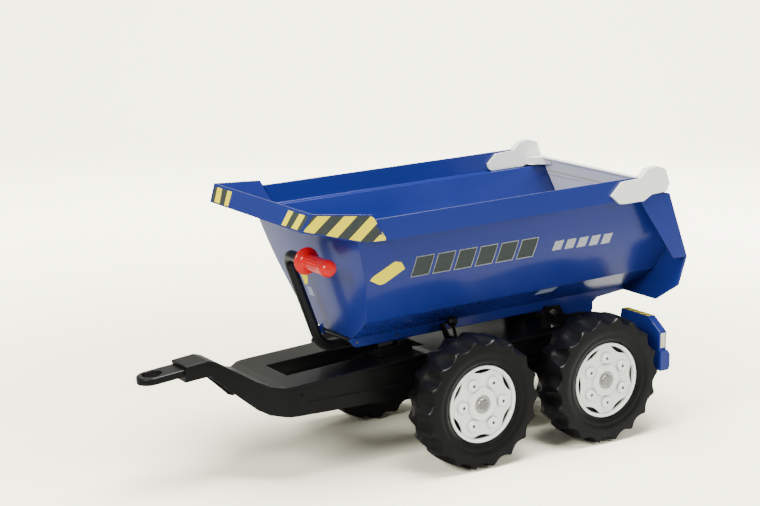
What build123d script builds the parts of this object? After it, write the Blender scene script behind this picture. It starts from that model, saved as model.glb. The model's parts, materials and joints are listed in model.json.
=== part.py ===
from build123d import *
import math
import os

os.makedirs("parts", exist_ok=True)

# Child's ride-on tipping trailer. Millimetres, +X forward to the drawbar eye, +Y to the
# trailer's left, +Z up. The origin is on the ground, under the middle of the whole trailer.

# ---------------------------------------------------------------- driving dimensions
WHEEL_RADIUS = 120.0
TYRE_WIDTH = 72.0
TYRE_OUTER_Y = 212.5
WHEELBASE = 275.4
AXLE_MID_X = -185.4
AXLE_RADIUS = 5.0
RUNNING_GAP = 0.05

CHASSIS_HALF = 102.0
CHASSIS_WALL = 4.0
CHASSIS_BOTTOM_Z = 123.0

HINGE_X = AXLE_MID_X - 185.0
HINGE_Z = 198.0
TROUGH_PITCH = 1.7
WALL = 3.5
RIM_Y = 197.7
RAIL_Y = 58.0
RAIL_THICK = 3.0
HINGE_PIN_R = 4.0

TUBE_R = 9.5
HITCH_PITCH = 6.0

FRONT_AXLE_X = AXLE_MID_X + WHEELBASE / 2
REAR_AXLE_X = AXLE_MID_X - WHEELBASE / 2
TYRE_INNER_Y = TYRE_OUTER_Y - TYRE_WIDTH


# ---------------------------------------------------------------- helpers
def plate_xz(outline, y_low, y_high):
    """A flat plate whose outline is in X and Z, between two Y values."""
    face = make_face(Polyline(*[(x, y_low, z) for x, z in outline], close=True))
    return extrude(face, amount=y_high - y_low, dir=(0, 1, 0))


def plate_yz(outline, x_low, x_high):
    """A flat plate whose outline is in Y and Z, between two X values."""
    face = make_face(Polyline(*[(x_low, y, z) for y, z in outline], close=True))
    return extrude(face, amount=x_high - x_low, dir=(1, 0, 0))


def block(x_low, x_high, y_low, y_high, z_low, z_high):
    size = (x_high - x_low, y_high - y_low, z_high - z_low)
    centre = ((x_low + x_high) / 2, (y_low + y_high) / 2, (z_low + z_high) / 2)
    return Pos(*centre) * Box(*size)


def rod_y(x, z, radius, y_low, y_high):
    """A round bar across the trailer."""
    return Pos(x, (y_low + y_high) / 2, z) * Rot(90, 0, 0) * Cylinder(radius, y_high - y_low)


def rod_x(y, z, radius, x_low, x_high):
    return Pos((x_low + x_high) / 2, y, z) * Rot(0, 90, 0) * Cylinder(radius, x_high - x_low)


def rod_z(x, y, radius, z_low, z_high):
    return Pos(x, y, (z_low + z_high) / 2) * Cylinder(radius, z_high - z_low)


def hex_y(x, z, across_flats, y_low, y_high):
    """A hexagon head or nut on a bolt across the trailer."""
    shape = extrude(RegularPolygon(across_flats / math.sqrt(3), 6), amount=y_high - y_low)
    return Pos(x, y_high, z) * Rot(90, 0, 0) * shape


def other_side(shape):
    return mirror(shape, about=Plane.XZ)


def both_sides(shape):
    return Compound(children=[*shape.solids(), *other_side(shape).solids()])


def save(shape, node):
    export_step(shape, f"parts/{node}.step")


# ---------------------------------------------------------------- chassis frame and drawbar
NECK_FOOT_X = AXLE_MID_X + 495.0
NECK_HEAD_X = AXLE_MID_X + 581.0
SOCKET_FRONT_X = AXLE_MID_X + 624.0
SOCKET_HALF = 28.0
SOCKET_TOP_Z = 225.5
SOCKET_BOTTOM_Z = 197.0
CHASSIS_REAR_X = AXLE_MID_X - 261.7
REAR_DECK_X = AXLE_MID_X - 141.0
REAR_DECK_Z = 172.0
MIDDLE_DECK_Z = 192.0
CAP_THICK = 5.0
BAND_LINE_Z = (150.0, 146.0)
BAND_FADE_X = (NECK_FOOT_X - 95.0, NECK_FOOT_X - 48.0)
WINDOW_HALF = 39.0
WINDOW_X = (AXLE_MID_X + 153.0, AXLE_MID_X + 437.0)
WINDOW_LIP = 22.0
LIP_INSET = 4.0
AXLE_BOSS_R = 17.0
BOSS_INNER_Y = CHASSIS_HALF - 16
BOSS_OUTER_Y = CHASSIS_HALF - 0.5
BUSH_R = 9.0
NECK_STEPS = 18


def chassis_plan(inset, rear_x=CHASSIS_REAR_X):
    """Plan outline: a wide frame that narrows to the drawbar socket in a long S curve."""
    curve = Spline(
        (NECK_HEAD_X, SOCKET_HALF),
        (NECK_HEAD_X - 26, SOCKET_HALF + 5),
        (NECK_FOOT_X + 26, SOCKET_HALF + 22),
        (NECK_FOOT_X, SOCKET_HALF + 42),
        (NECK_FOOT_X - 20, CHASSIS_HALF - 13),
        (NECK_FOOT_X - 52, CHASSIS_HALF),
        tangents=((-1, 0), (-1, 0)),
    )
    flank = [(SOCKET_FRONT_X, SOCKET_HALF - inset)]
    for i in range(NECK_STEPS + 1):
        point, along = curve @ (i / NECK_STEPS), curve % (i / NECK_STEPS)
        flank.append((point.X - inset * along.Y, point.Y + inset * along.X))
    flank.append((rear_x, CHASSIS_HALF - inset))
    outline = flank + [(x, -y) for x, y in flank[::-1]]
    return make_face(Polyline(*outline, close=True))


def deck_line():
    """Top of the frame, from the rear end to the front of the socket."""
    pitch_drop = (SOCKET_FRONT_X - NECK_HEAD_X) * math.tan(math.radians(HITCH_PITCH))
    return [
        (CHASSIS_REAR_X, REAR_DECK_Z),
        (REAR_DECK_X, REAR_DECK_Z),
        (REAR_DECK_X + 4, MIDDLE_DECK_Z),
        (AXLE_MID_X + 165, MIDDLE_DECK_Z),
        (AXLE_MID_X + 190, 196.0),
        (NECK_FOOT_X - 28, 177.0),
        (NECK_FOOT_X - 8, 176.5),
        (NECK_FOOT_X + 12, 184.0),
        (NECK_HEAD_X - 12, SOCKET_TOP_Z - 4.0),
        (NECK_HEAD_X + 2, SOCKET_TOP_Z),
        (SOCKET_FRONT_X, SOCKET_TOP_Z - pitch_drop),
    ]


def belly_line(drop):
    """Underside of the side walls, from the socket back to the rear end."""
    return [
        (SOCKET_FRONT_X, SOCKET_BOTTOM_Z - 4.0 - drop),
        (NECK_HEAD_X - 2, SOCKET_BOTTOM_Z - drop),
        (NECK_FOOT_X + 10, 133.0 - drop),
        (NECK_FOOT_X - 6, CHASSIS_BOTTOM_Z + 1.5 - drop),
        (NECK_FOOT_X - 22, CHASSIS_BOTTOM_Z - drop),
        (CHASSIS_REAR_X, CHASSIS_BOTTOM_Z - drop),
    ]


def lowered(points, amount):
    return [(x, z - amount) for x, z in points]


def layer(inset, upper, lower, rear_x=CHASSIS_REAR_X):
    """The part of the chassis between two side-view lines, with its plan outline inset."""
    prism = Pos(0, 0, 60) * extrude(chassis_plan(inset, rear_x), amount=200, dir=(0, 0, 1))
    return prism & plate_xz(upper + lower, -150, 150)


def make_side_band():
    """The thicker lower half of the sides; its ledge fades out before the neck."""
    flank = [(CHASSIS_REAR_X, CHASSIS_HALF - 0.5), (BAND_FADE_X[0], CHASSIS_HALF - 0.5),
             (BAND_FADE_X[1], CHASSIS_HALF - 2.5)]
    plan = make_face(Polyline(*flank, *[(x, -y) for x, y in flank[::-1]], close=True))
    slope = (BAND_LINE_Z[1] - BAND_LINE_Z[0]) / (NECK_FOOT_X - CHASSIS_REAR_X)
    front_z = BAND_LINE_Z[0] + slope * (BAND_FADE_X[1] - CHASSIS_REAR_X)
    side = [(CHASSIS_REAR_X, BAND_LINE_Z[0]), (BAND_FADE_X[1], front_z),
            (BAND_FADE_X[1], CHASSIS_BOTTOM_Z), (CHASSIS_REAR_X, CHASSIS_BOTTOM_Z)]
    return Pos(0, 0, 100) * extrude(plan, amount=100, dir=(0, 0, 1)) & plate_xz(side, -150, 150)


def make_chassis():
    deck = deck_line()
    belly = belly_line(0)
    cap = layer(0, deck, lowered(deck, CAP_THICK)[::-1])
    middle = layer(2.0, lowered(deck, CAP_THICK), belly)
    body = cap + middle + make_side_band()

    hollow_deck = lowered([p for p in deck if p[0] < NECK_HEAD_X - 10], CAP_THICK)
    hollow = layer(2.0 + CHASSIS_WALL, hollow_deck, belly_line(30.0)[1:],
                   CHASSIS_REAR_X + CHASSIS_WALL)
    body -= hollow

    for axle_x in (FRONT_AXLE_X, REAR_AXLE_X):
        lobe = rod_y(axle_x, WHEEL_RADIUS, AXLE_BOSS_R, BOSS_INNER_Y, BOSS_OUTER_Y)
        web = block(axle_x - AXLE_BOSS_R, axle_x + AXLE_BOSS_R, BOSS_INNER_Y, BOSS_OUTER_Y,
                    WHEEL_RADIUS, WHEEL_RADIUS + 30)
        lug = lobe + web
        body += lug + other_side(lug)

    sill = block(WINDOW_X[0] + LIP_INSET, WINDOW_X[1] - LIP_INSET, WINDOW_HALF, WINDOW_HALF + 3, 150, 240)
    sill &= plate_xz(lowered(deck, 1.0) + lowered(deck, WINDOW_LIP)[::-1], -80, 80)
    opening = block(*WINDOW_X, -WINDOW_HALF, WINDOW_HALF, 100, 260)
    body = body + sill + other_side(sill) - opening

    for axle_x in (FRONT_AXLE_X, REAR_AXLE_X):
        body -= rod_y(axle_x, WHEEL_RADIUS, BUSH_R, -CHASSIS_HALF - 5, CHASSIS_HALF + 5)

    body = body - make_drawbar_eye() - make_drawbar_bolt()
    for hole in bracket_screw_holes():
        body = body - hole - other_side(hole)
    for y in (-BUMPER_BOLT_Y, BUMPER_BOLT_Y):
        body -= rod_x(y, BUMPER_BOLT_Z, BUMPER_BOLT_R, CHASSIS_REAR_X - 5, CHASSIS_REAR_X + 12)
    side_dimple = rod_y(NECK_FOOT_X - 54, 160.0, 2.0, CHASSIS_HALF - 4, CHASSIS_HALF + 2)
    return body - side_dimple - other_side(side_dimple)


# The drawbar tongue is a flat bar with a round eye, pushed into the socket.
TONGUE_HALF = 24.5
TONGUE_THICK = 12.0
TONGUE_TOP_Z = 215.5
TONGUE_TIP = AXLE_MID_X + 702.0 - SOCKET_FRONT_X
TONGUE_TAIL = 34.0
TAIL_HALF = 23.5
TAIL_FRONT = 2.0
TAIL_DROP = 0.6
EYE_R = 17.5
EYE_CENTRE = TONGUE_TIP - 27.5
DRAWBAR_BOLT_R = 4.0


def hitch_frame():
    """Origin at the socket mouth, on top of the tongue, pitched nose down."""
    return Pos(SOCKET_FRONT_X, 0, TONGUE_TOP_Z) * Rot(0, HITCH_PITCH, 0)


def make_drawbar_eye():
    straight = block(TAIL_FRONT, TONGUE_TIP - TONGUE_HALF, -TONGUE_HALF, TONGUE_HALF,
                     -TONGUE_THICK, 0)
    end = rod_z(TONGUE_TIP - TONGUE_HALF, 0, TONGUE_HALF, -TONGUE_THICK, 0)
    bar = straight + end
    rim = bar.faces().sort_by(Axis.Z)[-1].outer_wire().edges().filter_by(
        lambda e: e.center().X > TAIL_FRONT + 1)
    bar = fillet(rim, 2.5)
    bar += block(-TONGUE_TAIL, TAIL_FRONT, -TAIL_HALF, TAIL_HALF, -TONGUE_THICK, -TAIL_DROP)
    bar -= rod_z(EYE_CENTRE, 0, EYE_R, -30, 10)
    bar -= rod_z(-TONGUE_TAIL / 2, 0, DRAWBAR_BOLT_R, -30, 10)
    return hitch_frame() * bar


def make_drawbar_bolt():
    """A short bolt up through the socket, with its head sunk in the socket floor."""
    shank = rod_z(-TONGUE_TAIL / 2, 0, DRAWBAR_BOLT_R, -22, 2)
    head = rod_z(-TONGUE_TAIL / 2, 0, 7.0, -25, -20.5)
    return hitch_frame() * (shank + head)


# ---------------------------------------------------------------- axles, bushes, caps, wheels
HUB_R = 14.0
SLEEVE_R = 8.0
DISC_R = 70.0
DISC_Y = 206.7
CAP_R = 11.0
AXLE_END_Y = 206.0
BARREL_R = DISC_R - 9
COVER_Y = DISC_Y - 4.0
CENTRE_R = 29.0
RECESS_R = 16.5
WINDOW_R = 63.4
WINDOW_DEPTH = 7.6
WINDOW_HALF_ANGLE = 17.5
BOSS_CIRCLE_R = 42.0
BOSS_R = 9.5
BOSS_HOLE_R = 3.0
BOSS_HEIGHT = 6.4
COVER_TURN = {"front": 0.0, "rear": 28.0}


def make_axle(axle_x):
    return rod_y(axle_x, WHEEL_RADIUS, AXLE_RADIUS, -AXLE_END_Y, AXLE_END_Y)


def make_axle_bush(axle_x):
    """Nylon bush that holds the axle in the chassis boss, with a flange towards the wheel."""
    body = rod_y(axle_x, WHEEL_RADIUS, BUSH_R, BOSS_INNER_Y, BOSS_OUTER_Y)
    body += rod_y(axle_x, WHEEL_RADIUS, BUSH_R + 5, BOSS_OUTER_Y, TYRE_INNER_Y - 1)
    return body - rod_y(axle_x, WHEEL_RADIUS, AXLE_RADIUS, BOSS_INNER_Y - 1, TYRE_INNER_Y + 1)


def make_axle_cap(axle_x):
    """Push-on cap that keeps the wheel on its axle."""
    body = rod_y(axle_x, WHEEL_RADIUS, CAP_R, DISC_Y - 4.5, DISC_Y + 2.2)
    body = fillet(body.edges().filter_by(GeomType.CIRCLE).sort_by(Axis.Y)[-1], 3.0)
    return body - rod_y(axle_x, WHEEL_RADIUS, AXLE_RADIUS, DISC_Y - 6, AXLE_END_Y)


def revolved(profile, axle_x):
    """Revolve an outline of (radius, y) points about an axle."""
    face = make_face(Polyline(*[(axle_x + r, y, WHEEL_RADIUS) for r, y in profile], close=True))
    return revolve(face, Axis((axle_x, 0, WHEEL_RADIUS), (0, 1, 0)), 360)


def make_tyre(axle_x):
    """Hollow tyre: a C-shaped shell whose two beads sit on the wheel's barrel."""
    crown = WHEEL_RADIUS
    middle = (TYRE_INNER_Y + TYRE_OUTER_Y) / 2
    profile = [
        (DISC_R - 5, TYRE_INNER_Y + 6),
        (86, TYRE_INNER_Y),
        (104, TYRE_INNER_Y + 2),
        (crown - 6, TYRE_INNER_Y + 9),
        (crown - 1.5, TYRE_INNER_Y + 20),
        (crown, middle),
        (crown - 1.5, TYRE_OUTER_Y - 20),
        (crown - 6, TYRE_OUTER_Y - 9),
        (104, TYRE_OUTER_Y - 1),
        (94, TYRE_OUTER_Y),
        (80, TYRE_OUTER_Y - 3),
        (DISC_R + 1.2, TYRE_OUTER_Y - 9),
        (DISC_R + 1.2, DISC_Y - 8),
        (DISC_R - 5, DISC_Y - 8),
        (DISC_R - 5, DISC_Y - 17),
        (79, TYRE_OUTER_Y - 12),
        (92, TYRE_OUTER_Y - 6),
        (103, TYRE_OUTER_Y - 7),
        (crown - 9, TYRE_OUTER_Y - 14),
        (crown - 5, middle),
        (crown - 9, TYRE_INNER_Y + 14),
        (103, TYRE_INNER_Y + 8),
        (88, TYRE_INNER_Y + 6),
        (DISC_R - 5, TYRE_INNER_Y + 15),
    ]
    return revolved(profile, axle_x)


def make_wheel_rim(axle_x):
    """Black wheel: a barrel inside the tyre, a web at its outer end and a long hub."""
    profile = [
        (SLEEVE_R, TYRE_INNER_Y + 1),
        (HUB_R, TYRE_INNER_Y + 1),
        (HUB_R, DISC_Y - 15),
        (BARREL_R, DISC_Y - 15),
        (BARREL_R, TYRE_INNER_Y + 7),
        (DISC_R - 5, TYRE_INNER_Y + 7),
        (DISC_R - 5, DISC_Y - 8),
        (BARREL_R, DISC_Y - 8),
        (BARREL_R, DISC_Y - 12),
        (HUB_R, DISC_Y - 12),
        (HUB_R, DISC_Y - 8),
        (SLEEVE_R, DISC_Y - 8),
    ]
    return revolved(profile, axle_x)


def around_axle(axle_x, radius, degrees):
    angle = math.radians(degrees)
    return axle_x + radius * math.cos(angle), WHEEL_RADIUS + radius * math.sin(angle)


def cover_window(axle_x, degrees):
    """A lens-shaped opening between the outer ring and the six-cornered face."""
    outer = [around_axle(axle_x, WINDOW_R, degrees + WINDOW_HALF_ANGLE * (i / 6 - 1))
             for i in range(13)]
    half = math.radians(WINDOW_HALF_ANGLE)
    inner = []
    for i in range(1, 12):
        across = 1 - i / 6
        chord = WINDOW_R * math.cos(half)
        depth = (WINDOW_DEPTH - (WINDOW_R - chord)) * (1 - across * across)
        side = math.degrees(math.atan2(WINDOW_R * math.sin(half) * across, chord - depth))
        reach = math.hypot(WINDOW_R * math.sin(half) * across, chord - depth)
        inner.append(around_axle(axle_x, reach, degrees + side))
    return plate_xz(outer + inner, DISC_Y - 10, DISC_Y)


def make_wheel_disc(axle_x, turn):
    """White cover: outer ring, face with six windows and six bosses, raised dished centre."""
    profile = [
        (SLEEVE_R, DISC_Y - 8),
        (18, DISC_Y - 8),
        (18, DISC_Y - 7),
        (BARREL_R - 0.5, DISC_Y - 7),
        (BARREL_R, DISC_Y - 8),
        (DISC_R - 5, DISC_Y - 8),
        (DISC_R - 5, DISC_Y - 7.6),
        (DISC_R, DISC_Y - 7.6),
        (DISC_R, DISC_Y - 1),
        (DISC_R - 1, DISC_Y),
        (DISC_R - 4.5, DISC_Y),
        (DISC_R - 5.5, DISC_Y - 1),
        (DISC_R - 6, COVER_Y),
        (CENTRE_R + 1, COVER_Y),
        (CENTRE_R, COVER_Y + 2.4),
        (CENTRE_R - 1, COVER_Y + 3.2),
        (RECESS_R + 1.5, COVER_Y + 3.2),
        (RECESS_R, COVER_Y + 2),
        (RECESS_R - 1, DISC_Y - 5),
        (SLEEVE_R, DISC_Y - 5),
    ]
    cover = revolved(profile, axle_x)
    for i in range(6):
        x, z = around_axle(axle_x, BOSS_CIRCLE_R, turn + 60 * i)
        boss = rod_y(x, z, BOSS_R, COVER_Y - 1, COVER_Y + BOSS_HEIGHT)
        boss = fillet(boss.edges().filter_by(GeomType.CIRCLE).sort_by(Axis.Y)[-1], 1.6)
        cover = cover + boss - rod_y(x, z, BOSS_HOLE_R, COVER_Y, COVER_Y + BOSS_HEIGHT + 1)
        cover -= cover_window(axle_x, turn + 30 + 60 * i)
    return cover


def make_hub_sleeve(axle_x):
    """Bearing sleeve pressed in the hub; it turns on the axle."""
    profile = [
        (AXLE_RADIUS + RUNNING_GAP, TYRE_INNER_Y - 0.5),
        (SLEEVE_R + 3, TYRE_INNER_Y - 0.5),
        (SLEEVE_R + 3, TYRE_INNER_Y + 1),
        (SLEEVE_R, TYRE_INNER_Y + 1),
        (SLEEVE_R, DISC_Y - 5),
        (AXLE_RADIUS + RUNNING_GAP, DISC_Y - 5),
    ]
    return revolved(profile, axle_x)


# ---------------------------------------------------------------- rear bumper and reflectors
BUMPER_FRONT_X = CHASSIS_REAR_X
BUMPER_DEPTH = 16.0
BUMPER_TOP_Z = 216.0
BUMPER_LOW_Z = 128.0
BUMPER_MID_Z = 164.0
BUMPER_IN_Y = 94.0
BUMPER_OUT_Y = 206.0
FLAP_OUT_Y = 211.0
FLAP_REAR_X = BUMPER_FRONT_X - 22.0
FLAP_LOW_Z = 119.0
FLAP_TOP_Z = 158.0
BUMPER_BOLT_Y = 60.0
BUMPER_BOLT_Z = 146.0
BUMPER_BOLT_R = 4.0
REFLECTOR_Z = (162.0, 190.0)


def make_bumper():
    rear_x = BUMPER_FRONT_X - BUMPER_DEPTH
    wing = [
        (0, BUMPER_LOW_Z),
        (BUMPER_OUT_Y, BUMPER_LOW_Z),
        (BUMPER_OUT_Y, BUMPER_TOP_Z - 23),
        (172, BUMPER_TOP_Z),
        (BUMPER_IN_Y, BUMPER_TOP_Z),
        (BUMPER_IN_Y - 8, BUMPER_MID_Z),
        (0, BUMPER_MID_Z),
    ]
    board = plate_yz(wing, rear_x, BUMPER_FRONT_X)
    flap_side = [
        (BUMPER_FRONT_X, FLAP_LOW_Z),
        (BUMPER_FRONT_X, FLAP_TOP_Z),
        (rear_x, FLAP_TOP_Z),
        (FLAP_REAR_X, FLAP_TOP_Z - 9),
        (FLAP_REAR_X, FLAP_LOW_Z + 5),
        (FLAP_REAR_X + 4, FLAP_LOW_Z),
    ]
    flap = plate_xz(flap_side, 150, FLAP_OUT_Y)
    half = board + flap
    half -= reflector_body(0.0)
    whole = half + other_side(half)
    for y in (-BUMPER_BOLT_Y, BUMPER_BOLT_Y):
        whole -= rod_x(y, BUMPER_BOLT_Z, BUMPER_BOLT_R, rear_x - 5, BUMPER_FRONT_X + 5)
    return whole


def reflector_body(proud):
    """A flat reflector let into the outer end of the bumper."""
    return block(BUMPER_FRONT_X - BUMPER_DEPTH + 3, BUMPER_FRONT_X - 3, BUMPER_OUT_Y - 2,
                 BUMPER_OUT_Y + proud, *REFLECTOR_Z)


def make_bumper_bolts():
    rear_x = BUMPER_FRONT_X - BUMPER_DEPTH
    shank = rod_x(BUMPER_BOLT_Y, BUMPER_BOLT_Z, BUMPER_BOLT_R, rear_x - 1, CHASSIS_REAR_X + 12)
    head = rod_x(BUMPER_BOLT_Y, BUMPER_BOLT_Z, 7.5, rear_x - 4, rear_x)
    nut = rod_x(BUMPER_BOLT_Y, BUMPER_BOLT_Z, 7.0, CHASSIS_REAR_X + CHASSIS_WALL,
                CHASSIS_REAR_X + CHASSIS_WALL + 6)
    return both_sides(shank + head + nut)


# ---------------------------------------------------------------- tip hinge on the chassis
BRACKET_Y = (59.0, 66.0)
TIE_X = AXLE_MID_X - 119.0
TIE_Z = 221.0
TIE_R = 4.0


def make_hinge_bracket():
    """Black lug plate: a tower for the tie bolt in front, the hinge pin behind it."""
    outline = [
        (AXLE_MID_X - 96, MIDDLE_DECK_Z),
        (AXLE_MID_X - 103, 234.0),
        (AXLE_MID_X - 136, 233.0),
        (AXLE_MID_X - 147, 214.0),
        (HINGE_X + 16, 212.0),
        (HINGE_X - 6, 212.5),
        (HINGE_X - 15, 204.0),
        (HINGE_X - 24, REAR_DECK_Z),
        (REAR_DECK_X - 1, REAR_DECK_Z),
        (REAR_DECK_X + 3.2, MIDDLE_DECK_Z),
    ]
    plate = plate_xz(outline, *BRACKET_Y)
    foot = block(HINGE_X - 24, REAR_DECK_X - 3, BRACKET_Y[1], BRACKET_Y[1] + 14,
                 REAR_DECK_Z, REAR_DECK_Z + 5)
    front_foot = block(AXLE_MID_X - 132, AXLE_MID_X - 96, BRACKET_Y[1], BRACKET_Y[1] + 14,
                       MIDDLE_DECK_Z, MIDDLE_DECK_Z + 5)
    body = plate + foot + front_foot
    body -= rod_y(HINGE_X, HINGE_Z, HINGE_PIN_R, 0, 100)
    body -= rod_y(TIE_X, TIE_Z, TIE_R, 0, 100)
    for x, deck in foot_screws():
        body -= rod_z(x, BRACKET_Y[1] + 7, 2.5, deck - 1, deck + 10)
    return body


def foot_screws():
    return [(HINGE_X - 10, REAR_DECK_Z), (AXLE_MID_X - 114, MIDDLE_DECK_Z)]


def bracket_screw_holes():
    y = BRACKET_Y[1] + 7
    return [rod_z(x, y, 2.5, deck - CAP_THICK - 1, deck + 1) for x, deck in foot_screws()]


def make_bracket_screws():
    """Screws down through the feet of the brackets into the deck."""
    y = BRACKET_Y[1] + 7
    parts = []
    for x, deck in foot_screws():
        screw = rod_z(x, y, 2.5, deck - CAP_THICK, deck + 6)
        parts.append(screw + rod_z(x, y, 5.0, deck + 5, deck + 8))
    return both_sides(parts[0] + parts[1])


def make_tie_bolt():
    """Bolt that ties the two lugs together under the trough."""
    reach = BRACKET_Y[1]
    bar = rod_y(TIE_X, TIE_Z, TIE_R, -reach - 6, reach + 6)
    ring = rod_y(TIE_X, TIE_Z, 6.5, reach, reach + 1.4)
    nut = hex_y(TIE_X, TIE_Z, 10.0, reach + 1.4, reach + 6)
    return bar + ring + nut + other_side(ring + nut)


def make_hinge_pin():
    reach = BRACKET_Y[1] + 4
    return rod_y(HINGE_X, HINGE_Z, HINGE_PIN_R, -reach, reach)


def make_hinge_pin_caps():
    inner = BRACKET_Y[1]
    cap = rod_y(HINGE_X, HINGE_Z, 8.0, inner, inner + 6)
    cap = fillet(cap.edges().filter_by(GeomType.CIRCLE).sort_by(Axis.Y)[-1], 2.0)
    cap -= rod_y(HINGE_X, HINGE_Z, HINGE_PIN_R, inner - 1, inner + 4)
    return both_sides(cap)


# ---------------------------------------------------------------- rests under the trough rails
REST_Y = (49.0, 70.0)
GUIDE_Y = 60.5
PAD_X = (AXLE_MID_X + 233.0, AXLE_MID_X + 260.0)
PAD_Y = (52.0, 60.0)


def deck_z(x):
    """Height of the sloping front deck."""
    low, high = (AXLE_MID_X + 190, 196.0), (NECK_FOOT_X - 28, 177.0)
    return low[1] + (x - low[0]) * (high[1] - low[1]) / (high[0] - low[0])


def rest_top(x):
    return 212.3 - (x - AXLE_MID_X - 227) * 0.12


def make_rest_block():
    """Block that carries a rail of the lowered trough, with a guide beside it."""
    x0, x1, x2 = AXLE_MID_X + 196.5, AXLE_MID_X + 226, AXLE_MID_X + 266
    base = [(x0, deck_z(x0)), (x0 + 3, rest_top(x1)), (x2, rest_top(x2)), (x2, deck_z(x2))]
    guide = [(x0, deck_z(x0)), (x0 + 7.5, 218.5), (x1, 217.5), (x1 + 1, deck_z(x1))]
    return plate_xz(base, *REST_Y) + plate_xz(guide, GUIDE_Y, REST_Y[1])


def make_rest_pad():
    """Rubber pad on the block; the rail comes down on it."""
    slope = math.tan(math.radians(TROUGH_PITCH))
    rail_front = HINGE_Z + RAIL_LOW_Z / math.cos(math.radians(TROUGH_PITCH))
    tops = [rail_front - (x - HINGE_X) * slope - 0.3 for x in PAD_X]
    outline = [(PAD_X[0], rest_top(PAD_X[0])), (PAD_X[0], tops[0]), (PAD_X[1], tops[1]),
               (PAD_X[1], rest_top(PAD_X[1]))]
    return plate_xz(outline, *PAD_Y)


# ---------------------------------------------------------------- latch
LATCH_X = AXLE_MID_X + 115.0
LATCH_Z = 201.0
LATCH_SHAFT_R = 4.0
HOOK_Y = (60.3, 64.3)
HOOK_INNER_R = 32.2
HOOK_OUTER_R = 36.0
POST_Y = (68.0, 84.0)
STEM_Y = 92.0
STEM_R = 3.0
KNOB_R = 10.0
KNOB = (AXLE_MID_X + 126.5, STEM_Y, 244.5)
STUD_X = AXLE_MID_X + 105.0
STUD_Z = 226.5
STUD_R = 3.0


def polar(radius, degrees):
    angle = math.radians(degrees)
    return LATCH_X + radius * math.cos(angle), LATCH_Z + radius * math.sin(angle)


def make_latch_post():
    body = block(LATCH_X - 10, LATCH_X + 10, *POST_Y, MIDDLE_DECK_Z, LATCH_Z)
    body += rod_y(LATCH_X, LATCH_Z, 10.0, *POST_Y)
    body &= block(LATCH_X - 20, LATCH_X + 20, *POST_Y, MIDDLE_DECK_Z, LATCH_Z + 30)
    return body - rod_y(LATCH_X, LATCH_Z, LATCH_SHAFT_R + RUNNING_GAP, POST_Y[0] - 1, POST_Y[1] + 1)


def make_latch_lever():
    """Shaft through the post: a hook plate inside, a stem for the knob outside."""
    shaft = rod_y(LATCH_X, LATCH_Z, LATCH_SHAFT_R, HOOK_Y[0], STEM_Y + 4)
    hub = rod_y(LATCH_X, LATCH_Z, 7.0, *HOOK_Y)
    steps = [62 + 32 * i / 8 for i in range(9)]
    outline = [polar(HOOK_OUTER_R, a) for a in steps] + [polar(HOOK_INNER_R, a) for a in steps[::-1]]
    nose = plate_xz(outline, *HOOK_Y)
    arm = plate_xz([polar(5, -20), polar(HOOK_OUTER_R - 0.5, 61), polar(HOOK_OUTER_R - 0.5, 74),
                    polar(6, 150)], *HOOK_Y)
    stem_low = Vector(LATCH_X, STEM_Y, LATCH_Z)
    stem_top = Vector(KNOB[0], STEM_Y, KNOB[2])
    along = stem_top - stem_low
    stem_plane = Plane(origin=stem_low, x_dir=(0, 1, 0), z_dir=along)
    stem = extrude(stem_plane * Circle(STEM_R), amount=along.length - KNOB_R + 4)
    boss = rod_y(LATCH_X, LATCH_Z, 8.0, STEM_Y - 4, STEM_Y + 4)
    return shaft + hub + nose + arm + stem + boss


def make_latch_knob(lever):
    return Pos(*KNOB) * Sphere(KNOB_R) - lever


# ---------------------------------------------------------------- trough, in its own frame
# Trough frame: origin on the hinge pin, +X forward along the floor, +Z up. It stands pitched
# nose down by TROUGH_PITCH on the trailer.
FLOOR_Z = 48.0
FLOOR_HALF = 58.0
FOLD = (124.6, 93.0)
SHOULDER = (168.0, 174.2)
SHOULDER_R = 250.0
WALL_TOP = (184.6, 262.0)
RIM_LOW_Z = 250.0
RIM_TOP_Z = 290.0
RIM_REAR_X = -44.0
FRONT_FOOT_X = 500.0
FRONT_LEAN = 0.32
FRONT_BULGE_R = 1600.0
TAIL_TOP = (-106.5, 251.0)
TAIL_MID = (-149.3, 125.6)
TAIL_LOW = (-117.2, 38.9)
TAIL_CORNER_Z = 73.0
TAIL_LOW_HALF = 149.5
FRAME_THICK = 4.0
RAIL_LOW_Z = 31.0
RAIL_FRONT_X = 506.0
HOOD_LOW = (651.5, 167.0, 279.7)
HOOD_TOP = (636.5, 177.2, 310.2)
HOOD_END_LOW = (508.0, RIM_Y, 250.0)
HOOD_END_TOP = (533.5, 199.8, 299.3)
HOOD_KEEL_X = 541.0
GATE_PIVOT = (17.0, 266.8)


def trough_frame():
    return Pos(HINGE_X, 0, HINGE_Z) * Rot(0, TROUGH_PITCH, 0)


def trough_section(inset, top_z, x):
    """Half-pipe outline in Y and Z: flat floor, sloping panels, then the upright sides."""
    low = FLOOR_Z + inset
    corner = FLOOR_HALF - inset * 0.3
    fold = (FOLD[0] - inset * 0.8, FOLD[1] + inset * 0.6)
    shoulder = (SHOULDER[0] - inset * 0.94, SHOULDER[1] + inset * 0.34)
    lean = (WALL_TOP[0] - SHOULDER[0]) / (WALL_TOP[1] - SHOULDER[1])
    top = (shoulder[0] + (top_z - shoulder[1]) * lean, top_z)
    upright = FilletPolyline((x, *fold), (x, *shoulder), (x, *top), radius=SHOULDER_R)
    half = Polyline((x, 0, low), (x, corner, low), (x, *fold)) + upright
    half += Line((x, *top), (x, 0, top_z))
    return make_face(half + mirror(half, about=Plane.XZ))


def trough_prism(inset, top_z, x_low, x_high):
    return extrude(trough_section(inset, top_z, x_low), amount=x_high - x_low, dir=(1, 0, 0))


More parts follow.
